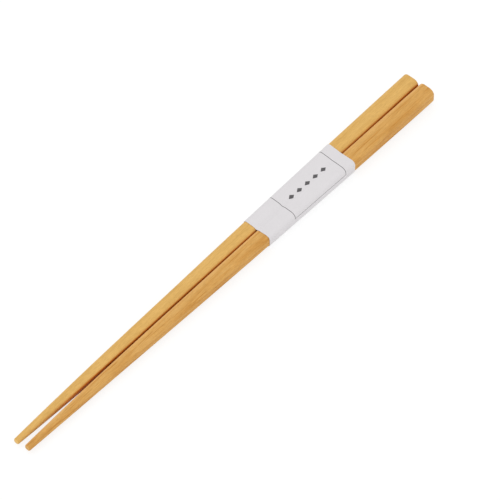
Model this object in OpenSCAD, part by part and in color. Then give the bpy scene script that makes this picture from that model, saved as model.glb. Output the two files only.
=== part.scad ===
// Pair of wooden chopsticks, side by side in a paper band
// The tips point to -X and the butts to +X. The pair lies on the underside of the band, at Z = 0.

/* [Chopstick] */
// Length of a stick
stick_len = 230; // [180:1:270]
// Width across the flats at the butt
butt_w = 7.5; // [6:0.1:9]
// Width across the flats at the tip
tip_w = 2.5; // [2.4:0.05:3.5]
// Power of the taper: 1 is a straight cone, more keeps the handle full and thins the tip
taper_power = 1.75; // [1.3:0.05:3]
// Length of the finer tip, which is drawn in past the taper
fine_tip_len = 48; // [20:1:80]
// How much narrower the finer tip makes the end of the stick
fine_tip_cut = 0.5; // [0:0.05:0.8]
// Corner radius at the butt
butt_corner_r = 2; // [1.2:0.1:2.8]
// Corner radius at the tip
tip_corner_r = 1.15; // [0.75:0.05:1.2]
// Rounding of the edge of the butt's end face
butt_ease_r = 0.5; // [0.2:0.05:1]
// Rounding of the edge of the tip's end face
tip_ease_r = 0.6; // [0.1:0.05:0.7]

/* [Pair] */
// Distance from the tips to the place where the sticks touch
touch_from_tip = 160; // [130:1:180]
// Room between the two sticks at that place
touch_gap = 0.04; // [0.02:0.01:0.3]
// How far the right stick stands out past the left one at the butts
butt_step = 0.7; // [0:0.1:3]

/* [Paper band] */
// Length of the band along the sticks
band_len = 50.5; // [30:0.5:60]
// Distance from the butts to the band
band_from_butt = 48.5; // [35:0.5:60]
// Thickness of the paper
paper_t = 0.15; // [0.08:0.01:0.3]
// Room between the paper and the wood
paper_room = 0.06; // [0.05:0.01:0.2]
// Width of the glued overlap under the pair
overlap_w = 6; // [3:0.5:7]
// Angle of the dip into the groove between the sticks, at the band's butt edge
butt_edge_dip = 4; // [2:1:20]
// Angle of the dip into the groove between the sticks, at the band's tip edge
tip_edge_dip = 24; // [4:1:30]
// Inside radius of the crease at the bottom of that dip
crease_r = 0.8; // [0.5:0.1:1.4]

/* [Hidden] */

// Length over which the paper steps down under its own inner end
seam_ramp = 4 * paper_t;
// Bevel that stands for the cut edge of the paper's outer end
seam_bevel = paper_t / 2;

// Sections along a stick, along its eased end edges and along the band
body_steps = 30;
ease_steps = 4;
band_steps = 10;
// Points on a quarter-round corner and on each bend of the dip
corner_steps = 8;
dip_steps = 4;

wood_left = "#DDB267";
wood_right = "#D8A65A";
paper_white = "#E2E1E4";

// Width that the taper alone would leave at the tip
taper_tip_w = tip_w + fine_tip_cut;

// Places of the band's two edges, from the tips
band_x0 = stick_len - band_from_butt - band_len;
band_x1 = stick_len - band_from_butt;

// Slope of each axis: towards its neighbour, so that the inner faces are tangent where they touch,
// and down to the tip, so that the band's underside lies level
toe_in = handle_slope(touch_from_tip);
droop = (half_w(band_x1) - half_w(band_x0)) / band_len;

function blend(a, b, t) = a + (b - a) * t;

// Width across the flats at a distance from the tip, as the taper alone gives it
function taper_w(x) = blend(taper_tip_w, butt_w, 1 - pow(1 - x / stick_len, taper_power));

// Half the width with the finer tip, and its slope along the handle
function half_w(x) = (taper_w(x) - fine_tip_cut * pow(max(0, 1 - x / fine_tip_len), 2)) / 2;
function handle_slope(x) =
    (butt_w - taper_tip_w) / 2 * taper_power / stick_len * pow(1 - x / stick_len, taper_power - 1);

// Corner radius at a distance from the tip, in step with the width there
function corner_r(x) = blend(tip_corner_r, butt_corner_r, (2 * half_w(x) - tip_w) / (butt_w - tip_w));

// Place of the left stick's axis: distance from the middle of the pair, and height
function axis_y(x) = half_w(touch_from_tip) + touch_gap / 2 + toe_in * (x - touch_from_tip);
function axis_z(x) = half_w(band_x0) + paper_room + 2 * paper_t + droop * (x - band_x0);

function arc(centre, r, from, to, steps) =
    [for (i = [0:steps]) let (a = blend(from, to, i / steps)) centre + r * [cos(a), sin(a)]];

// Rounded square of half width h and corner radius r, counter-clockwise
function rounded_square(h, r) =
    [for (k = [0:3]) each arc((h - r) * [sign(cos(45 + 90 * k)), sign(sin(45 + 90 * k))],
        r, 90 * k, 90 * k + 90, corner_steps)];

// One ring of a stick at a distance from the tip, drawn in by an inset
function stick_ring(x, place, inset) =
    [for (p = rounded_square(half_w(x) - inset, corner_r(x) - inset)) [place, p.x, p.y]];

// Rings from the tip's end face to the butt's, with both end edges eased
function stick_rings() = concat(
    [for (i = [0:ease_steps]) let (a = 90 * i / ease_steps)
        stick_ring(tip_ease_r, tip_ease_r * (1 - cos(a)), tip_ease_r * (1 - sin(a)))],
    [for (i = [1:body_steps - 1])
        let (x = blend(tip_ease_r, stick_len - butt_ease_r, i / body_steps)) stick_ring(x, x, 0)],
    [for (i = [0:ease_steps]) let (a = 90 * i / ease_steps)
        stick_ring(stick_len - butt_ease_r, stick_len - butt_ease_r * (1 - sin(a)),
            butt_ease_r * (1 - cos(a)))]);

// Two triangles between neighbouring points of neighbouring loops, for a wall seen from its outside
function wall(first, next, n) =
    [for (j = [0:n - 1]) let (k = (j + 1) % n) each
        [[first + j, next + j, first + k], [first + k, next + j, next + k]]];

// One straight stick along +X, its tip's end face at the origin
module chopstick() {
    rings = stick_rings();
    n = len(rings[0]);
    last = (len(rings) - 1) * n;
    polyhedron(
        points = [for (ring = rings) each ring],
        faces = concat(
            [[for (j = [0:n - 1]) j]],
            [for (i = [0:len(rings) - 2]) each wall(i * n, (i + 1) * n, n)],
            [[for (j = [n - 1:-1:0]) last + j]]));
}

// A stick in its place in the pair: side is 1 for the left one and -1 for the right one
module placed_chopstick(side) {
    translate([-(stick_len + side * butt_step) / 2, side * axis_y(0), axis_z(0)])
        rotate([0, -atan(droop), side * atan(toe_in)])
            chopstick();
}

// Closed path of one face of the paper round both sticks, at a share v of the way from the band's
// tip edge to its butt edge. The path lies at an offset from the wood, and the seam drops under it.
function band_loop(v, offset, seam) =
    let (
        h = blend(half_w(band_x0), half_w(band_x1), v),
        r = blend(corner_r(band_x0), corner_r(band_x1), v),
        y = blend(axis_y(band_x0), axis_y(band_x1), v),
        z = blend(axis_z(band_x0), axis_z(band_x1), v),
        dip = blend(tip_edge_dip, butt_edge_dip, v),
        out = y + h - r,
        in = y - h + r,
        top = z + h - r,
        low = z - h + r,
        bend = r + offset,
        crease = crease_r + paper_room - offset,
        crease_z = top + bend * cos(dip) - (in - bend * sin(dip)) * tan(dip) + crease / cos(dip),
        under = z - h - offset
    )
    concat(
        [[-overlap_w / 2 - seam_bevel, under], [-overlap_w / 2, under - seam]],
        [[overlap_w / 2, under - seam], [overlap_w / 2 + seam_ramp, under]],
        arc([out, low], bend, -90, 0, corner_steps),
        arc([out, top], bend, 0, 90, corner_steps),
        arc([in, top], bend, 90, 90 + dip, dip_steps),
        arc([0, crease_z], crease, dip - 90, -dip - 90, dip_steps),
        arc([-in, top], bend, 90 - dip, 90, dip_steps),
        arc([-out, top], bend, 90, 180, corner_steps),
        arc([-out, low], bend, 180, 270, corner_steps));

function band_ring(i, offset, seam) =
    let (v = i / band_steps, x = blend(band_x0, band_x1, v) - stick_len / 2)
    [for (p = band_loop(v, offset, seam)) [x, p.x, p.y]];

module left_chopstick() {
    color(wood_left)
        placed_chopstick(1);
}

module right_chopstick() {
    color(wood_right)
        placed_chopstick(-1);
}

// Strip of paper round both sticks, its ends glued over each other under the pair
module paper_band() {
    outer = [for (i = [0:band_steps]) band_ring(i, paper_room + paper_t, paper_t)];
    inner = [for (i = [0:band_steps]) band_ring(i, paper_room, 0)];
    n = len(outer[0]);
    inside = (band_steps + 1) * n;
    last = band_steps * n;
    color(paper_white)
        polyhedron(
            points = [for (ring = concat(outer, inner)) each ring],
            faces = concat(
                [for (i = [0:band_steps - 1]) each wall(i * n, (i + 1) * n, n)],
                [for (i = [0:band_steps - 1]) each wall(inside + (i + 1) * n, inside + i * n, n)],
                wall(inside, 0, n),
                wall(last, inside + last, n)));
}

left_chopstick();
right_chopstick();
paper_band();
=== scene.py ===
# Looks of a pair of wooden chopsticks in a paper band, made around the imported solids
import math

import bpy
from mathutils import Matrix, Vector, noise


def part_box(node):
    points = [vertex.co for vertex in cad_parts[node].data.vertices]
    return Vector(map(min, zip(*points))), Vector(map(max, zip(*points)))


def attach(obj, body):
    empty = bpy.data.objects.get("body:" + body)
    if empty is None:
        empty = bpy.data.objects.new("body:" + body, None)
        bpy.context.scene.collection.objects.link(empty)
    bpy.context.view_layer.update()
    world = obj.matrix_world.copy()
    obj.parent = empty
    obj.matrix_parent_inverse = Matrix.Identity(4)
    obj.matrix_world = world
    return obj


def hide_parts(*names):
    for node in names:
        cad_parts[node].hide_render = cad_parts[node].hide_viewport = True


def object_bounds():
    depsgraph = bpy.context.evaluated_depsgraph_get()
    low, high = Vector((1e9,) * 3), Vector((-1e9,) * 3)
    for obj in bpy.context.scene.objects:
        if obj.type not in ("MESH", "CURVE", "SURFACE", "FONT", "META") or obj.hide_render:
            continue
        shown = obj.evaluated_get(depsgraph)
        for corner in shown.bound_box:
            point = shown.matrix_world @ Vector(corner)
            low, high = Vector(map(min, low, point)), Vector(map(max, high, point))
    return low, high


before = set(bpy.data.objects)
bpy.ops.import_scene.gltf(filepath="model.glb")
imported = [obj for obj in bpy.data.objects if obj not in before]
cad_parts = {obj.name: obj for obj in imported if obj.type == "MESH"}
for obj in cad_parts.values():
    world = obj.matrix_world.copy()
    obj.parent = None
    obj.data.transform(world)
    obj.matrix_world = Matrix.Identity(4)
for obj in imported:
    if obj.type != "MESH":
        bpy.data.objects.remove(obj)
cad_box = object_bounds()

MM = 0.001

# Stick: the same form as its solid, in the stick's own frame with the tip at the origin
STICK_LEN = 230 * MM
BUTT_W = 7.5 * MM
TIP_W = 2.5 * MM
TAPER_POWER = 1.75
FINE_TIP_LEN = 48 * MM
FINE_TIP_CUT = 0.5 * MM
BUTT_CORNER_R = 2 * MM
TIP_CORNER_R = 1.15 * MM
BUTT_EASE_R = 0.5 * MM
TIP_EASE_R = 0.6 * MM
# Flat ring between an eased end edge and the end face
CAP_RIM = 0.3 * MM

# Pair: where the sticks touch, and how far the right one stands out past the left at the butts
TOUCH_FROM_TIP = 160 * MM
TOUCH_GAP = 0.04 * MM
BUTT_STEP = 0.7 * MM

# Paper band, between the edges that its solid has
BAND_X0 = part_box("paper_band")[0].x + STICK_LEN / 2
BAND_X1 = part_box("paper_band")[1].x + STICK_LEN / 2
BAND_LEN = BAND_X1 - BAND_X0
PAPER_T = 0.15 * MM
PAPER_ROOM = 0.06 * MM
OVERLAP_W = 6 * MM
SEAM_RAMP = 4 * PAPER_T
GLUE_T = 0.01 * MM
BUTT_EDGE_DIP = math.radians(4)
TIP_EDGE_DIP = math.radians(24)
# Crease over the groove, softer in this sheet than the solid's
CREASE_R = 2 * MM

# Free edges of the paper: how they stand off the sticks, and how they are cut askew and bowed
LIFT_HEIGHT = 0.06 * MM
LIFT_REACH = 5 * MM
LIFT_ALONG = 6 * MM
# Height, as a share of a butt's width, above which they stand off
LIFT_FROM_SHARE = 0.3
TIP_EDGE_SKEW = 0.025
BUTT_EDGE_SKEW = 0.01
TIP_EDGE_BACK = 0.05 * MM
TIP_EDGE_BOW = 0.31 * MM
BUTT_EDGE_BOW = 0.3 * MM
BUTT_EDGE_BOW_Y = -1.5 * MM
EDGE_BOW_HALF = 7.5 * MM
EDGE_BOW_REACH = 5 * MM

# Unevenness of the planed wood, and the lengths over which a stick is bent, bowed, fuller or trimmed
PLANING_DEPTH = 0.03 * MM
PLANING_ALONG = 16 * MM
PLANING_ACROSS = 3 * MM
TIP_BEND_LEN = 60 * MM
SIDE_BOW_LEN = 95 * MM
BUTT_BEND_LEN = 40 * MM
FULLNESS_LEN = 90 * MM
BUTT_TRIM_LEN = 8 * MM

# Form of each stick of this pair: how far it stands away from its neighbour at the tip and comes towards it
# along the fore part and at the butt, how much fuller it is along the fore part and at the tip, how much
# longer it is, and how much rounder its corners are at the butt, counter-clockwise from the +Y +Z one
LEFT_FORM = {
    "side": 1,
    "seed": 0.0,
    "tip_bend": 0.15 * MM,
    "side_bow": 0.08 * MM,
    "butt_bend": 0.0,
    "fullness": 0.14 * MM,
    "tip_fullness": 0.0,
    "longer": 0.2 * MM,
    "rounder": (0.0, 0.8 * MM, 0.0, 0.0),
}
RIGHT_FORM = {
    "side": -1,
    "seed": 50.0,
    "tip_bend": 0.2 * MM,
    "side_bow": 0.14 * MM,
    "butt_bend": 0.1 * MM,
    "fullness": 0.0,
    "tip_fullness": 0.05 * MM,
    "longer": 0.0,
    "rounder": (0.3 * MM, 0.9 * MM, 0.1 * MM, 0.0),
}

# Mesh steps, and the angle from which an edge is sharp
BODY_STEPS = 230
EASE_STEPS = 6
CORNER_STEPS = 10
FLAT_STEPS = 6
BAND_STEPS = 60
CREASE_STEPS = 8
SHORT_STEPS = 2
SHARP_ANGLE = math.radians(40)

# Bake map: the share across it that a stick's wall takes, where the butt's end face starts in the strip that
# is left and how much of the strip an end face fills, and the shares of the paper's two faces and their gap
WALL_SHARE = 0.92
BUTT_CAP_START = 0.5
CAP_FILL = 0.8
OUTER_SHARE = 0.72
INNER_SHARE = 0.22
FACE_GAP = 0.02
BAKE_MAP = "OFBake"
PRINT_MAP = "Strip"

# Print: a thin frame and a column of lozenges
FRAME_HALF_W = 8.93 * MM
FRAME_FROM_TIP_EDGE = 15.23 * MM
FRAME_FROM_BUTT_EDGE = 5.4 * MM
FRAME_HALF_LEN = (BAND_LEN - FRAME_FROM_TIP_EDGE - FRAME_FROM_BUTT_EDGE) / 2
FRAME_MIDDLE = FRAME_FROM_TIP_EDGE + FRAME_HALF_LEN
FRAME_LINE_W = 0.25 * MM
LOZENGE_COUNT = 5
LOZENGE_PITCH = 4.6 * MM
LOZENGE_HALF_W = 1.1 * MM
LOZENGE_HALF_LEN = 1.5 * MM
COLUMN_HALF_LEN = LOZENGE_COUNT * LOZENGE_PITCH / 2
PRINT_LEAN = 0.028
PRINT_SOFT = 0.05 * MM

# Grains: sizes along and across a stick, and detail
WARP_GRAIN = (60 * MM, 6 * MM, 2.0)
STREAK_GRAIN = (26 * MM, 0.5 * MM, 1.0)
FIBRE_GRAIN = (9 * MM, 0.3 * MM, 3.0)
MOTTLE_GRAIN = (12 * MM, 3 * MM, 2.0)
FLECK_GRAIN = (2 * MM, 0.26 * MM, 2.0)
PULP_GRAIN = (0.35 * MM, 0.35 * MM, 4.0)
CLOUD_GRAIN = (5 * MM, 5 * MM, 2.0)

# Patterns in the wood, each with the value at which it starts and the one at which it is full: late wood over
# a year, streaks by the height of their grain, and pores by the distance from the middle of a cell
LATE_RISE = (0.25, 0.9)
LATE_FALL = (1.0, 0.93)
STREAK_RANGE = (0.55, 0.75)
PORE_RANGE = (0.34, 0.14)
PORE_LEN = 1.6 * MM
PORE_W = 0.2 * MM
# Cells with a higher value than this hold a pore
PORE_CELL_LEVEL = 0.62
# About the mean of the late wood, round which its tone is balanced
LATE_MEAN = 1 / 3

# Places along the pair, from its middle, where a change starts and where it is full: the wood's tone near
# the tip, painted light near the butt, painted shade in the groove, and that shade's colour near the tips
TIP_TONE_X = (-100 * MM, -113 * MM)
BUTT_LIGHT_X = (100 * MM, 112 * MM)
GROOVE_SHADE_X = (-112 * MM, -70 * MM)
GROOVE_SHADE_DARKER_X = (-90 * MM, -65 * MM)

# Parts of the normal, along the pair or towards the other stick, where a change starts and where it is full:
# painted light on the tip's end face, end grain on the butt's, painted light on the outer side near the butt,
# and a painted highlight along the groove's edge
TIP_FACE_LIGHT_TURN = (-0.45, -0.85)
BUTT_FACE_TURN = (0.75, 0.98)
BUTT_LIGHT_TURN = (0.0, -0.7)
GROOVE_HIGHLIGHT_TURN = (0.05, 0.5)

# Tones, about the middle of a colour ramp, with painted light on the tip's end face, and how far the painted
# groove shade covers
MIDDLE_TONE = 0.5
TIP_FACE_PAINTED_LIGHT = 0.5
BUTT_FACE_TONE = -0.15
END_RING_TONE = 0.32
PULP_TONE = 0.5
CLOUD_TONE = 0.5
GROOVE_SHADE_SHARE = 0.97

# Finish of the wood
WOOD_ROUGHNESS = 0.62
FIBRE_GLOSS = 0.12
BUTT_FACE_ROUGHER = 0.2
WOOD_SPECULAR = 0.15
PORE_DEPTH = 0.8
WOOD_BUMP = {"Strength": 0.5, "Distance": 0.02 * MM}

# Finish of the paper and how its ink covers
PAPER_ROUGHNESS = 0.8
PAPER_SPECULAR = 0.2
COCKLE_HEIGHT = 4.0
PAPER_BUMP = {"Strength": 0.4, "Distance": 0.01 * MM}
INK_COVER = 1.05
INK_LOSS = 0.3

# Colours: red, green and blue from 0 to 255
# Painted highlight along the groove's edge
GROOVE_HIGHLIGHT_COLOUR = (240, 190, 126)
# Painted shade in the groove, and its lighter, more orange colour near the tips
GROOVE_SHADE_COLOUR = (192, 100, 0)
GROOVE_SHADE_TIP_COLOUR = (220, 118, 0)
INK_COLOUR = (62, 60, 62)
PAPER_COLOURS = [(0.0, (221, 218, 220)), (1.0, (229, 226, 228))]

# Look of each stick's wood: its place in the noise, the pith, slant, width and warp of its growth rings, the
# strength of its patterns, tones, painted light near the butt, painted highlight along the groove's edge,
# which way along Y the other stick lies, how far a surface turns to it where the painted groove shade
# starts, and its pores and colours
LEFT_LOOK = {
    "seed": (3.1, 1.7, 0.4),
    "pith": (-34 * MM, 52 * MM),
    "lean": (0.012, 0.02),
    "ring": 2.1 * MM,
    "warp": 1.6 * MM,
    "late": 0.06,
    "streak": 0.06,
    "fibre": 0.28,
    "mottle": 0.25,
    "fleck": 0.45,
    "drift": 0.0,
    "tip_tone": 0.0,
    "butt_painted_light": 0.0,
    "inner_turn": -1.0,
    "groove_highlight": 0.0,
    "groove_shade_from": 0.72,
    "pore": 0.25,
    "pore_colour": (176, 122, 58),
    "colours": [(0.1, (194, 145, 69)), (0.5, (225, 179, 102)), (0.9, (240, 197, 122))],
}
RIGHT_LOOK = {
    "seed": (7.9, 4.2, 2.6),
    "pith": (28 * MM, -40 * MM),
    "lean": (-0.014, 0.016),
    "ring": 1.7 * MM,
    "warp": 1.8 * MM,
    "late": 0.16,
    "streak": 0.36,
    "fibre": 0.45,
    "mottle": 0.45,
    "fleck": 0.5,
    "drift": 0.24,
    "tip_tone": -0.14,
    "butt_painted_light": 0.22,
    "inner_turn": 1.0,
    "groove_highlight": 0.5,
    "groove_shade_from": 0.92,
    "pore": 0.3,
    "pore_colour": (160, 100, 42),
    "colours": [(0.1, (195, 134, 57)), (0.5, (217, 165, 91)), (0.9, (229, 183, 113))],
}

# Camera, from the photograph's viewing angle
VIEW_AZIMUTH = math.radians(-48.08)
VIEW_ELEVATION = math.radians(53.41)
VIEW_DISTANCE = 1.2
VIEW_LENS = 222.4
VIEW_CLIP = 12 * MM
AIM_HEIGHT = 3 * MM
AIM_RIGHT = 8.25 * MM
AIM_UP = 3.73 * MM

# Studio
FLOOR_HALF = 3.0
FLOOR_DROP = 0.02 * MM
FLOOR_PALE = 0.85
FLOOR_SHADED = 0.24
FLOOR_GLOW = 0.8
SKY_LEVEL = 0.875
KEY_PLACE = Vector((-0.4, 0.6, 1.5))
KEY_SIZE = 1.2
KEY_POWER = 3.0
FILL_PLACE = Vector((0.2, -1.5, 0.35))
FILL_SIZE = 0.8
FILL_POWER = 2.0


def blend(a, b, t):
    return a + (b - a) * t


def ripple(spot):
    """Smooth noise about 0.5, from 0 to 1."""
    return 0.5 + 0.5 * noise.noise(spot)


# Form of a stick at a distance from its tip

def taper_width(x):
    return blend(TIP_W + FINE_TIP_CUT, BUTT_W, 1 - (1 - x / STICK_LEN) ** TAPER_POWER)


def half_width(x):
    return (taper_width(x) - FINE_TIP_CUT * max(0, 1 - x / FINE_TIP_LEN) ** 2) / 2


def handle_slope(x):
    """Slope of the half width, behind the fine tip."""
    spread = (BUTT_W - TIP_W - FINE_TIP_CUT) / 2
    return spread * TAPER_POWER / STICK_LEN * (1 - x / STICK_LEN) ** (TAPER_POWER - 1)


def corner_radius(x):
    return blend(TIP_CORNER_R, BUTT_CORNER_R, (2 * half_width(x) - TIP_W) / (BUTT_W - TIP_W))


# Place of the left stick's axis in the pair

TOE_IN = handle_slope(TOUCH_FROM_TIP)
DROOP = (half_width(BAND_X1) - half_width(BAND_X0)) / BAND_LEN


def axis_y(x):
    return half_width(TOUCH_FROM_TIP) + TOUCH_GAP / 2 + TOE_IN * (x - TOUCH_FROM_TIP)


def axis_z(x):
    return half_width(BAND_X0) + PAPER_ROOM + 2 * PAPER_T + DROOP * (x - BAND_X0)


# Outlines in a plane across the sticks

def arc(centre, r, start, end, steps):
    """Points of an arc, between two angles in degrees."""
    angles = [math.radians(blend(start, end, i / steps)) for i in range(steps + 1)]
    return [Vector((centre[0] + r * math.cos(a), centre[1] + r * math.sin(a))) for a in angles]


def extended(path, points, steps):
    """The path with a straight run in steps to the first of the points, and then those points."""
    if not path:
        return list(points)
    run = [path[-1].lerp(points[0], i / steps) for i in range(1, steps)]
    return path + run + list(points)


def rounded_square(h, radii):
    """Closed outline of half width h with a radius for each corner, counter-clockwise from the +Y +Z one."""
    path = []
    for k, r in enumerate(radii):
        quarter = math.radians(45 + 90 * k)
        centre = Vector((math.copysign(h - r, math.cos(quarter)), math.copysign(h - r, math.sin(quarter))))
        path = extended(path, arc(centre, r, 90 * k, 90 * k + 90, CORNER_STEPS), FLAT_STEPS)
    return extended(path, path[:1], FLAT_STEPS)[:-1]


# Meshes

def make_object(name, points, faces, maps):
    """A smooth mesh object, with one UV map for each entry of maps: a list of corners for each face."""
    mesh = bpy.data.meshes.new(name)
    mesh.from_pydata(points, [], faces)
    for map_name, corners in maps.items():
        layer = mesh.uv_layers.new(name=map_name)
        flat = [corner for face in corners for corner in face]
        layer.uv.foreach_set("vector", [c for corner in flat for c in corner])
    mesh.shade_smooth()
    mesh.set_sharp_from_angle(angle=SHARP_ANGLE)
    mesh.validate()
    made = bpy.data.objects.new(name, mesh)
    bpy.context.scene.collection.objects.link(made)
    return made


# Sticks

def stick_stations():
    """(distance of the form, distance of the ring, inset) for each ring from the tip to the butt."""
    turns = [math.pi / 2 * i / EASE_STEPS for i in range(EASE_STEPS + 1)]
    tip = TIP_EASE_R
    butt = STICK_LEN - BUTT_EASE_R
    rings = [(tip, 0, TIP_EASE_R + CAP_RIM)]
    rings += [(tip, tip * (1 - math.cos(a)), tip * (1 - math.sin(a))) for a in turns]
    body = [blend(tip, butt, i / BODY_STEPS) for i in range(1, BODY_STEPS)]
    rings += [(x, x, 0) for x in body]
    rings += [(butt, butt + BUTT_EASE_R * math.sin(a), BUTT_EASE_R * (1 - math.cos(a))) for a in turns]
    return rings + [(butt, STICK_LEN, BUTT_EASE_R + CAP_RIM)]


def planed(point, seed):
    """A point of a stick's wall, drawn in a little as a plane leaves it."""
    x, y, z = point
    spot = Vector((x / PLANING_ALONG + seed, y / PLANING_ACROSS, z / PLANING_ACROSS))
    depth = min(PLANING_DEPTH * ripple(spot), PLANING_DEPTH)
    return Vector(point) - Vector((0, y, z)).normalized() * depth


def towards_tip(x):
    """0 up to the place where a bent tip starts, and 1 at the tip's end."""
    return max(0, 1 - x / TIP_BEND_LEN) ** 2


def towards_butt(x, length):
    """0 up to this length from the butt's end, and 1 at the end."""
    return max(0, 1 - (STICK_LEN - x) / length) ** 2


def half_wave(x, length):
    """A swell from the tip to this length, 1 in its middle."""
    return math.sin(math.pi * min(1, x / length))


def shift(x, form):
    """How far the form moves a ring: along the stick, and away from its neighbour."""
    tip = form["tip_bend"] * towards_tip(x)
    bow = form["side_bow"] * half_wave(x, SIDE_BOW_LEN)
    butt = form["butt_bend"] * towards_butt(x, BUTT_BEND_LEN)
    return Vector((form["longer"] * towards_butt(x, BUTT_TRIM_LEN), form["side"] * (tip - bow - butt), 0))


def stick_outline(x, inset, form):
    """Outline across a stick, drawn in by the inset."""
    half = half_width(x) + form["fullness"] * half_wave(x, FULLNESS_LEN)
    half += form["tip_fullness"] * towards_tip(x)
    at_butt = towards_butt(x, BUTT_TRIM_LEN)
    radii = [corner_radius(x) + extra * at_butt - inset for extra in form["rounder"]]
    return rounded_square(half - inset, radii)


def stick_rings(form):
    """Rings of a stick in its own frame, and how far the form moves each of them in the pair."""
    rings, shifts = [], []
    for x, place, inset in stick_stations():
        outline = stick_outline(x, inset, form)
        rings.append([planed((place, p.x, p.y), form["seed"]) for p in outline])
        shifts.append(shift(place, form))
    return rings, shifts


def stick_place(side):
    """Takes a stick from its own frame to its place in the pair."""
    return (
        Matrix.Translation((-(STICK_LEN + side * BUTT_STEP) / 2, side * axis_y(0), axis_z(0)))
        @ Matrix.Rotation(side * math.atan(TOE_IN), 4, "Z")
        @ Matrix.Rotation(-math.atan(DROOP), 4, "Y")
    )


def wall_faces(last, n):
    """Faces between rings of n points up to the last, and their corners on the bake map."""
    corner_steps = [(0, 1), (1, 1), (1, 0), (0, 0)]
    walls = [(i, j) for i in range(last) for j in range(n)]
    faces = [[(i + a) * n + (j + b) % n for a, b in corner_steps] for i, j in walls]
    bake = [[((i + a) / last, (j + b) / n * WALL_SHARE) for a, b in corner_steps] for i, j in walls]
    return faces, bake


def cap_corners(points, start):
    """Corners of an end face on the bake map, in the strip that the wall leaves."""
    strip = 1 - WALL_SHARE
    middle = Vector((start + strip / 2, 1 - strip / 2))
    return [middle + strip * CAP_FILL / BUTT_W * point.yz for point in points]


def make_stick(name, form):
    rings, shifts = stick_rings(form)
    n = len(rings[0])
    last = len(rings) - 1
    faces, bake = wall_faces(last, n)
    faces.append(list(reversed(range(n))))
    bake.append(cap_corners(reversed(rings[0]), 0))
    faces.append([last * n + j for j in range(n)])
    bake.append(cap_corners(rings[last], BUTT_CAP_START))
    to_pair = stick_place(form["side"])
    points = [to_pair @ p + moved for ring, moved in zip(rings, shifts) for p in ring]
    return make_object(name, points, faces, {BAKE_MAP: bake})


# Paper band

def band_path(v):
    """Middle of the paper from its inner end, once round both sticks and over itself to its outer end."""
    h, r, y, z = (blend(f(BAND_X0), f(BAND_X1), v) for f in (half_width, corner_radius, axis_y, axis_z))
    dip = blend(TIP_EDGE_DIP, BUTT_EDGE_DIP, v)
    dip_deg = math.degrees(dip)
    lay = PAPER_ROOM + PAPER_T / 2
    under = z - h - lay
    # Centres and radius of the bends round the sticks, and those of the crease between the sticks
    out, near = y + h - r, y - h + r
    top, low = z + h - r, z - h + r
    bend_r = r + lay
    crease_r = CREASE_R - PAPER_T / 2
    crease_z = top + bend_r * math.cos(dip) - (near - bend_r * math.sin(dip)) * math.tan(dip)
    crease_z += crease_r / math.cos(dip)
    runs = [
        (arc((-out, low), bend_r, 270, 180, CORNER_STEPS), 2 * FLAT_STEPS),
        (arc((-out, top), bend_r, 180, 90, CORNER_STEPS), FLAT_STEPS),
        (arc((-near, top), bend_r, 90, 90 - dip_deg, CREASE_STEPS), FLAT_STEPS),
        (arc((0, crease_z), crease_r, -dip_deg - 90, dip_deg - 90, CREASE_STEPS), SHORT_STEPS),
        (arc((near, top), bend_r, 90 + dip_deg, 90, CREASE_STEPS), SHORT_STEPS),
        (arc((out, top), bend_r, 90, 0, CORNER_STEPS), FLAT_STEPS),
        (arc((out, low), bend_r, 0, -90, CORNER_STEPS), FLAT_STEPS),
        ([Vector((OVERLAP_W / 2 + SEAM_RAMP, under))], SHORT_STEPS),
        ([Vector((OVERLAP_W / 2, under - PAPER_T))], SHORT_STEPS),
        ([Vector((-OVERLAP_W / 2, under - PAPER_T))], 2 * FLAT_STEPS),
    ]
    path = [Vector((OVERLAP_W / 2, under + GLUE_T))]
    for points, steps in runs:
        path = extended(path, points, steps)
    return path


def path_normals(path):
    """Directions away from the sticks, square to the path."""
    ends = [path[0], *path, path[-1]]
    steps = [(after - before).normalized() for before, after in zip(ends, ends[2:])]
    return [Vector((-step.y, step.x)) for step in steps]


def path_lengths(path):
    """Distance along the path at each of its points, from the crease over the groove."""
    lengths = [0.0]
    for before, after in zip(path, path[1:]):
        lengths.append(lengths[-1] + (after - before).length)
    crease = min(range(len(path)), key=lambda k: abs(path[k].x) - path[k].y)
    return [length - lengths[crease] for length in lengths]


def edge_lift(v, spot):
    """How far the paper stands off near its edges, all above its underside."""
    from_edge = min(v, 1 - v) * BAND_LEN
    near = max(0, 1 - from_edge / LIFT_REACH) ** 2
    wave = ripple(Vector((spot.x / LIFT_ALONG, spot.y / LIFT_ALONG, v)))
    above = min(1, max(0, spot.y / BUTT_W - LIFT_FROM_SHARE))
    return LIFT_HEIGHT * near * wave * above


def near_edge(v):
    """1 at the paper's tip edge, falling to 0 a little way in."""
    return max(0, 1 - v * BAND_LEN / EDGE_BOW_REACH) ** 2


def band_point(v, spot):
    """Place in the pair of a spot across the sticks. The paper's edges are a little askew and bowed."""
    start = BAND_X0 - TIP_EDGE_SKEW * spot.x
    end = BAND_X1 - BUTT_EDGE_SKEW * spot.x
    tip_back = TIP_EDGE_BACK + TIP_EDGE_BOW * (spot.x / EDGE_BOW_HALF) ** 2
    butt_back = BUTT_EDGE_BOW * max(0, 1 - ((spot.x - BUTT_EDGE_BOW_Y) / EDGE_BOW_HALF) ** 2)
    x = blend(start, end, v) + tip_back * near_edge(v) - butt_back * near_edge(1 - v)
    return Vector((x - STICK_LEN / 2, spot.x, spot.y))


def band_rings():
    """Rings of the paper's outer and inner faces, and the place of each point on the unrolled strip."""
    outer, inner, places = [], [], []
    for i in range(BAND_STEPS + 1):
        v = i / BAND_STEPS
        path = band_path(v)
        normals = path_normals(path)
        lifted = [p + n * edge_lift(v, p) for p, n in zip(path, normals)]
        for face, half in ((outer, PAPER_T / 2), (inner, -PAPER_T / 2)):
            face.append([band_point(v, p + n * half) for p, n in zip(lifted, normals)])
        places.append([(length, v * BAND_LEN) for length in path_lengths(path)])
    return outer, inner, places


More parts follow.
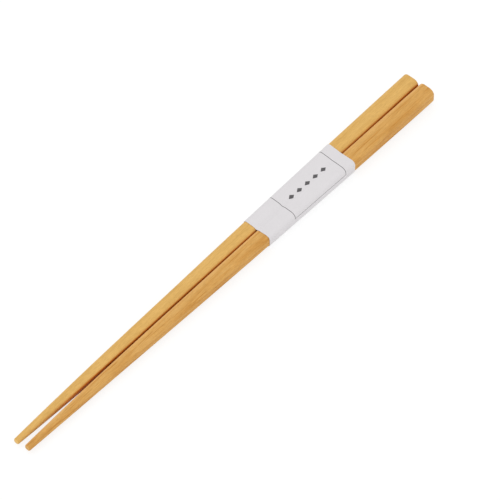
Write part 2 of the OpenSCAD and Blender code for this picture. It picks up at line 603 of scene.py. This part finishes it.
def band_corners(last):
    """Corners of each face, as (0 outer or 1 inner, step along, step round), with rings up to point last."""
    around = [(0, 0), (0, 1), (1, 1), (1, 0)]
    end = BAND_STEPS
    corners = []
    for i in range(end):
        for j in range(last):
            corners.append([(0, i + a, j + b) for a, b in reversed(around)])
            corners.append([(1, i + a, j + b) for a, b in around])
    for j in range(last):
        corners.append([(0, 0, j), (0, 0, j + 1), (1, 0, j + 1), (1, 0, j)])
        corners.append([(0, end, j + 1), (0, end, j), (1, end, j), (1, end, j + 1)])
    for i in range(end):
        corners.append([(0, i + 1, 0), (0, i, 0), (1, i, 0), (1, i + 1, 0)])
        corners.append([(0, i, last), (0, i + 1, last), (1, i + 1, last), (1, i, last)])
    return corners


def make_band(name):
    outer, inner, places = band_rings()
    n = len(outer[0])
    count = (BAND_STEPS + 1) * n
    corners = band_corners(n - 1)
    faces = [[side * count + i * n + j for side, i, j in face] for face in corners]
    starts = (0, OUTER_SHARE + FACE_GAP)
    shares = (OUTER_SHARE, INNER_SHARE)
    bake = [
        [(j / (n - 1), starts[side] + shares[side] * i / BAND_STEPS) for side, i, j in face]
        for face in corners
    ]
    prints = [[places[i][j] for _, i, j in face] for face in corners]
    points = [p for face in (outer, inner) for ring in face for p in ring]
    return make_object(name, points, faces, {PRINT_MAP: prints, BAKE_MAP: bake})


# Nodes of a material

def node(tree, kind, inputs, **settings):
    """A new node. An input is a socket to link from or a value, by name or in order."""
    made = tree.nodes.new(kind)
    for key, value in settings.items():
        setattr(made, key, value)
    pairs = inputs.items() if isinstance(inputs, dict) else enumerate(inputs)
    for key, value in pairs:
        if isinstance(value, bpy.types.NodeSocket):
            tree.links.new(value, made.inputs[key])
        else:
            made.inputs[key].default_value = value
    return made


def maths(tree, operation, *values, clamp=False):
    return node(tree, "ShaderNodeMath", values, operation=operation, use_clamp=clamp).outputs[0]


def vector_maths(tree, operation, first, second):
    return node(tree, "ShaderNodeVectorMath", [first, second], operation=operation).outputs[0]


def split(tree, vector):
    """The three parts of a vector, by their names."""
    return node(tree, "ShaderNodeSeparateXYZ", [vector]).outputs


def total(tree, values):
    result = values[0]
    for value in values[1:]:
        result = maths(tree, "ADD", result, value)
    return result


def weighed(tree, value, weight):
    """A pattern from 0 to 1 as a departure of up to half the weight either way."""
    return maths(tree, "MULTIPLY_ADD", value, weight, -weight / 2)


def eased(tree, value, limits):
    """0 at the first of the limits and 1 at the second, eased between them."""
    inputs = {"Value": value, "From Min": limits[0], "From Max": limits[1], "To Min": 0.0, "To Max": 1.0}
    made = node(tree, "ShaderNodeMapRange", inputs, interpolation_type="SMOOTHSTEP")
    return made.outputs["Result"]


def stretched(tree, place, along, across):
    """The place in steps of these sizes along and across a stick."""
    return vector_maths(tree, "MULTIPLY", place, (1 / along, 1 / across, 1 / across))


def grain(tree, place, sizes):
    """Noise whose features have these sizes along and across a stick, with this detail."""
    along, across, detail = sizes
    inputs = {"Vector": stretched(tree, place, along, across), "Scale": 1.0, "Detail": detail}
    return node(tree, "ShaderNodeTexNoise", inputs).outputs["Fac"]


def linear(colour):
    """Linear colour, with full alpha, of red, green and blue from 0 to 255."""
    levels = [value / 255 for value in colour]
    parts = [c / 12.92 if c <= 0.04045 else ((c + 0.055) / 1.055) ** 2.4 for c in levels]
    return (*parts, 1.0)


def grey(level):
    return (level, level, level, 1.0)


def colour_ramp(tree, value, stops):
    made = node(tree, "ShaderNodeValToRGB", [value])
    elements = made.color_ramp.elements
    while len(elements) < len(stops):
        elements.new(1.0)
    for element, (place, colour) in zip(elements, stops):
        element.position = place
        element.color = linear(colour)
    return made.outputs["Color"]


def mixed(tree, share, first, second):
    """Mix of two colours, which are inputs 6 and 7 and output 2 of the node that mixes them."""
    made = node(tree, "ShaderNodeMix", {0: share, 6: first, 7: second}, data_type="RGBA")
    return made.outputs[2]


def new_material(name):
    material = bpy.data.materials.new(name)
    material.use_nodes = True
    return material, material.node_tree, material.node_tree.nodes["Principled BSDF"]


def add_bump(tree, shader, height, bump):
    made = node(tree, "ShaderNodeBump", {**bump, "Height": height})
    tree.links.new(made.outputs[0], shader.inputs["Normal"])


# Wood. In these functions spot holds the parts of the place in the pair, turn those of the normal, place is
# the place in the noise, and inward is how far the surface turns to the other stick

def growth_rings(tree, look, place, spot):
    """Late wood about a pith that lies outside the stick and runs a little askew."""
    pith_y, pith_z = look["pith"]
    lean_y, lean_z = look["lean"]
    from_y = maths(tree, "ADD", maths(tree, "MULTIPLY_ADD", spot["X"], lean_y, -pith_y), spot["Y"])
    from_z = maths(tree, "ADD", maths(tree, "MULTIPLY_ADD", spot["X"], lean_z, -pith_z), spot["Z"])
    squares = maths(tree, "ADD", maths(tree, "POWER", from_y, 2.0), maths(tree, "POWER", from_z, 2.0))
    warp = weighed(tree, grain(tree, place, WARP_GRAIN), look["warp"])
    years = maths(tree, "DIVIDE", maths(tree, "ADD", maths(tree, "SQRT", squares), warp), look["ring"])
    season = maths(tree, "FRACT", years)
    return maths(tree, "MULTIPLY", eased(tree, season, LATE_RISE), eased(tree, season, LATE_FALL))


def figure_tones(tree, look, place, spot, late, fibre, butt_face):
    """Tones of rings, streaks, fibres and mottling, and a drift from the groove outwards."""
    streak = eased(tree, grain(tree, place, STREAK_GRAIN), STREAK_RANGE)
    lengthwise = maths(tree, "SUBTRACT", 1.0, butt_face)
    mottle = grain(tree, place, MOTTLE_GRAIN)
    outward = maths(tree, "ABSOLUTE", spot["Y"])
    return [
        maths(tree, "MULTIPLY_ADD", late, -look["late"], MIDDLE_TONE + look["late"] * LATE_MEAN),
        maths(tree, "MULTIPLY", maths(tree, "MULTIPLY", streak, lengthwise), -look["streak"]),
        weighed(tree, fibre, look["fibre"]),
        weighed(tree, mottle, look["mottle"]),
        maths(tree, "MULTIPLY_ADD", outward, -look["drift"] / BUTT_W, look["drift"] / 2),
    ]


def end_tones(tree, look, spot, turn, inward, late, butt_face):
    """Tones near the tip, painted light on the outer side near the butt and on the tip's end face, and end
    grain on the butt's end face.
    """
    near_tip = eased(tree, spot["X"], TIP_TONE_X)
    # Painted light on the outer side near the butt
    lit_outer_side = eased(tree, inward, BUTT_LIGHT_TURN)
    lit_near_butt = maths(tree, "MULTIPLY", eased(tree, spot["X"], BUTT_LIGHT_X), lit_outer_side)
    # Painted light on the tip's end face, which is turned to the front
    lit_tip_face = eased(tree, turn["X"], TIP_FACE_LIGHT_TURN)
    end_rings = maths(tree, "MULTIPLY_ADD", late, -END_RING_TONE, BUTT_FACE_TONE + END_RING_TONE * LATE_MEAN)
    return [
        maths(tree, "MULTIPLY", near_tip, look["tip_tone"]),
        maths(tree, "MULTIPLY", lit_near_butt, look["butt_painted_light"]),
        maths(tree, "MULTIPLY", lit_tip_face, TIP_FACE_PAINTED_LIGHT),
        maths(tree, "MULTIPLY", butt_face, end_rings),
    ]


def painted_groove_light(tree, look, colour, spot, inward):
    """Adds a painted highlight along the groove's edge, and painted shade on the faces turned to each other.
    """
    # Painted highlight along the groove's edge, on the faces turned a little to the other stick
    groove_highlight = maths(tree, "MULTIPLY", eased(tree, inward, GROOVE_HIGHLIGHT_TURN), look["groove_highlight"])
    colour = mixed(tree, groove_highlight, colour, linear(GROOVE_HIGHLIGHT_COLOUR))
    # Painted shade on the faces turned to each other, fading towards the tips and more orange there
    groove_shade_reach = maths(tree, "MULTIPLY", eased(tree, spot["X"], GROOVE_SHADE_X), GROOVE_SHADE_SHARE)
    groove_shade = maths(tree, "MULTIPLY", eased(tree, inward, (look["groove_shade_from"], 1.0)), groove_shade_reach)
    main_shade_share = eased(tree, spot["X"], GROOVE_SHADE_DARKER_X)
    groove_shade_colour = mixed(tree, main_shade_share, linear(GROOVE_SHADE_TIP_COLOUR), linear(GROOVE_SHADE_COLOUR))
    return mixed(tree, groove_shade, colour, groove_shade_colour)


def flecked(tree, look, colour, place):
    """Adds flecks, lighter and darker alike."""
    fleck = grain(tree, place, FLECK_GRAIN)
    shine = maths(tree, "ADD", weighed(tree, fleck, look["fleck"]), 1.0)
    return node(tree, "ShaderNodeVectorMath", {0: colour, "Scale": shine}, operation="SCALE").outputs[0]


def pores(tree, place):
    """Short dashes along the fibres."""
    cells = node(tree, "ShaderNodeTexVoronoi", {
        "Vector": stretched(tree, place, PORE_LEN, PORE_W),
        "Scale": 1.0,
    }).outputs
    chosen = maths(tree, "GREATER_THAN", cells["Color"], PORE_CELL_LEVEL)
    return maths(tree, "MULTIPLY", eased(tree, cells["Distance"], PORE_RANGE), chosen)


def wood(name, look):
    material, tree, shader = new_material(name)
    coordinates = node(tree, "ShaderNodeTexCoord", []).outputs
    place = vector_maths(tree, "ADD", coordinates["Object"], look["seed"])
    spot = split(tree, coordinates["Object"])
    turn = split(tree, coordinates["Normal"])
    inward = maths(tree, "MULTIPLY", turn["Y"], look["inner_turn"])
    butt_face = eased(tree, turn["X"], BUTT_FACE_TURN)
    late = growth_rings(tree, look, place, spot)
    fibre = grain(tree, place, FIBRE_GRAIN)
    pore = pores(tree, place)

    tones = figure_tones(tree, look, place, spot, late, fibre, butt_face)
    tones += end_tones(tree, look, spot, turn, inward, late, butt_face)
    colour = colour_ramp(tree, total(tree, tones), look["colours"])
    # Painted highlight and painted shade along the groove
    colour = painted_groove_light(tree, look, colour, spot, inward)
    colour = flecked(tree, look, colour, place)
    pore_share = maths(tree, "MULTIPLY", pore, look["pore"])
    colour = mixed(tree, pore_share, colour, linear(look["pore_colour"]))

    rough = maths(tree, "MULTIPLY_ADD", fibre, -FIBRE_GLOSS, WOOD_ROUGHNESS)
    rough = maths(tree, "MULTIPLY_ADD", butt_face, BUTT_FACE_ROUGHER, rough)
    tree.links.new(colour, shader.inputs["Base Color"])
    tree.links.new(rough, shader.inputs["Roughness"])
    shader.inputs["Specular IOR Level"].default_value = WOOD_SPECULAR
    add_bump(tree, shader, maths(tree, "MULTIPLY_ADD", pore, -PORE_DEPTH, fibre), WOOD_BUMP)
    return material


# Paper. In these functions round_by and along are distances from the middle of the print

def print_place(tree):
    """Distances from the print's middle: round the sticks, either way, and along them."""
    strip = split(tree, node(tree, "ShaderNodeUVMap", [], uv_map=PRINT_MAP).outputs[0])
    level = maths(tree, "SUBTRACT", strip["Y"], FRAME_MIDDLE)
    along = maths(tree, "MULTIPLY_ADD", strip["X"], -PRINT_LEAN, level)
    round_by = maths(tree, "ABSOLUTE", maths(tree, "MULTIPLY_ADD", level, PRINT_LEAN, strip["X"]))
    return round_by, along


def frame_line(tree, round_by, along):
    """A thin line round a rectangle."""
    past_side = maths(tree, "SUBTRACT", round_by, FRAME_HALF_W)
    past_end = maths(tree, "SUBTRACT", maths(tree, "ABSOLUTE", along), FRAME_HALF_LEN)
    off_line = maths(tree, "ABSOLUTE", maths(tree, "MAXIMUM", past_side, past_end))
    return eased(tree, off_line, (FRAME_LINE_W / 2 + PRINT_SOFT, FRAME_LINE_W / 2 - PRINT_SOFT))


def lozenge_column(tree, round_by, along):
    """A column of lozenges, one to each pitch."""
    column = maths(tree, "ADD", along, COLUMN_HALF_LEN)
    in_cell = maths(tree, "SUBTRACT", maths(tree, "FLOORED_MODULO", column, LOZENGE_PITCH), LOZENGE_PITCH / 2)
    slant = total(tree, [
        maths(tree, "DIVIDE", round_by, LOZENGE_HALF_W),
        maths(tree, "DIVIDE", maths(tree, "ABSOLUTE", in_cell), LOZENGE_HALF_LEN),
    ])
    soft = PRINT_SOFT / LOZENGE_HALF_W
    within = maths(tree, "LESS_THAN", maths(tree, "ABSOLUTE", along), COLUMN_HALF_LEN)
    return maths(tree, "MULTIPLY", eased(tree, slant, (1 + soft, 1 - soft)), within)


def printed_paper(name):
    material, tree, shader = new_material(name)
    round_by, along = print_place(tree)
    ink = maths(tree, "MAXIMUM", frame_line(tree, round_by, along), lozenge_column(tree, round_by, along))

    local = node(tree, "ShaderNodeTexCoord", []).outputs["Object"]
    pulp = grain(tree, local, PULP_GRAIN)
    cloud = grain(tree, local, CLOUD_GRAIN)
    tone = total(tree, [weighed(tree, pulp, PULP_TONE), weighed(tree, cloud, CLOUD_TONE), MIDDLE_TONE])
    sheet = colour_ramp(tree, tone, PAPER_COLOURS)
    cover = maths(tree, "MULTIPLY_ADD", pulp, -INK_LOSS, INK_COVER)
    ink_share = maths(tree, "MULTIPLY", ink, cover, clamp=True)
    colour = mixed(tree, ink_share, sheet, linear(INK_COLOUR))
    tree.links.new(colour, shader.inputs["Base Color"])
    shader.inputs["Roughness"].default_value = PAPER_ROUGHNESS
    shader.inputs["Specular IOR Level"].default_value = PAPER_SPECULAR
    add_bump(tree, shader, maths(tree, "MULTIPLY_ADD", cloud, COCKLE_HEIGHT, pulp), PAPER_BUMP)
    return material


# Floor, light and camera

def seen_directly(tree):
    """1 for a ray that the eye, a mirror or glass sends."""
    path = node(tree, "ShaderNodeLightPath", []).outputs
    by_mirror_or_glass = maths(tree, "MAXIMUM", path["Is Glossy Ray"], path["Is Transmission Ray"])
    return maths(tree, "MAXIMUM", path["Is Camera Ray"], by_mirror_or_glass)


def floor_white(name):
    """White to the camera apart from the shadow, and a plain pale floor to every other ray."""
    material, tree, shader = new_material(name)
    tree.nodes.remove(shader)
    pale = node(tree, "ShaderNodeBsdfDiffuse", {"Color": grey(FLOOR_PALE)}).outputs[0]
    shaded = node(tree, "ShaderNodeBsdfDiffuse", {"Color": grey(FLOOR_SHADED)}).outputs[0]
    glow = node(tree, "ShaderNodeEmission", {"Color": grey(1.0), "Strength": FLOOR_GLOW}).outputs[0]
    white = node(tree, "ShaderNodeAddShader", [shaded, glow]).outputs[0]
    surface = node(tree, "ShaderNodeMixShader", [seen_directly(tree), pale, white]).outputs[0]
    tree.links.new(surface, tree.nodes["Material Output"].inputs["Surface"])
    return material


def make_floor():
    h = FLOOR_HALF
    z = cad_box[0].z - FLOOR_DROP
    mesh = bpy.data.meshes.new("floor")
    mesh.from_pydata([(-h, -h, z), (h, -h, z), (h, h, z), (-h, h, z)], [], [(0, 1, 2, 3)])
    mesh.materials.append(floor_white("floor_white"))
    floor = bpy.data.objects.new("floor", mesh)
    bpy.context.scene.collection.objects.link(floor)


def make_lamp(name, place, size, power):
    """A round soft lamp that shines on the pair."""
    data = bpy.data.lights.new(name, "AREA")
    data.shape = "DISK"
    data.size = size
    data.energy = power
    lamp = bpy.data.objects.new(name, data)
    lamp.location = place
    lamp.rotation_mode = "QUATERNION"
    lamp.rotation_quaternion = (-place).to_track_quat("-Z", "Y")
    bpy.context.scene.collection.objects.link(lamp)


def make_light():
    world = bpy.data.worlds.new("studio")
    bpy.context.scene.world = world
    world.use_nodes = True
    tree = world.node_tree
    background = tree.nodes["Background"]
    background.inputs["Color"].default_value = grey(1.0)
    strength = maths(tree, "MULTIPLY_ADD", seen_directly(tree), 1 - SKY_LEVEL, SKY_LEVEL)
    tree.links.new(strength, background.inputs["Strength"])
    make_lamp("key", KEY_PLACE, KEY_SIZE, KEY_POWER)
    make_lamp("fill", FILL_PLACE, FILL_SIZE, FILL_POWER)


def make_camera():
    data = bpy.data.cameras.new("camera")
    data.lens = VIEW_LENS
    data.clip_start = VIEW_CLIP
    camera = bpy.data.objects.new("camera", data)
    level = math.cos(VIEW_ELEVATION)
    back = Vector((math.sin(VIEW_AZIMUTH) * level, -math.cos(VIEW_AZIMUTH) * level, math.sin(VIEW_ELEVATION)))
    turn = (-back).to_track_quat("-Z", "Y")
    aim = Vector((0, 0, AIM_HEIGHT)) + turn @ Vector((AIM_RIGHT, AIM_UP, 0))
    camera.location = aim + back * VIEW_DISTANCE
    camera.rotation_mode = "QUATERNION"
    camera.rotation_quaternion = turn
    bpy.context.scene.collection.objects.link(camera)
    bpy.context.scene.camera = camera


def dress(piece, material, replaced):
    piece.data.materials.append(material)
    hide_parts(replaced)
    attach(piece, "root")


left_stick = make_stick("left_stick_wood", LEFT_FORM)
right_stick = make_stick("right_stick_wood", RIGHT_FORM)
dress(left_stick, wood("left_wood", LEFT_LOOK), "left_chopstick")
dress(right_stick, wood("right_wood", RIGHT_LOOK), "right_chopstick")
dress(make_band("band_paper"), printed_paper("printed_paper"), "paper_band")
make_floor()
make_light()
make_camera()
bpy.context.scene.view_settings.view_transform = "Standard"
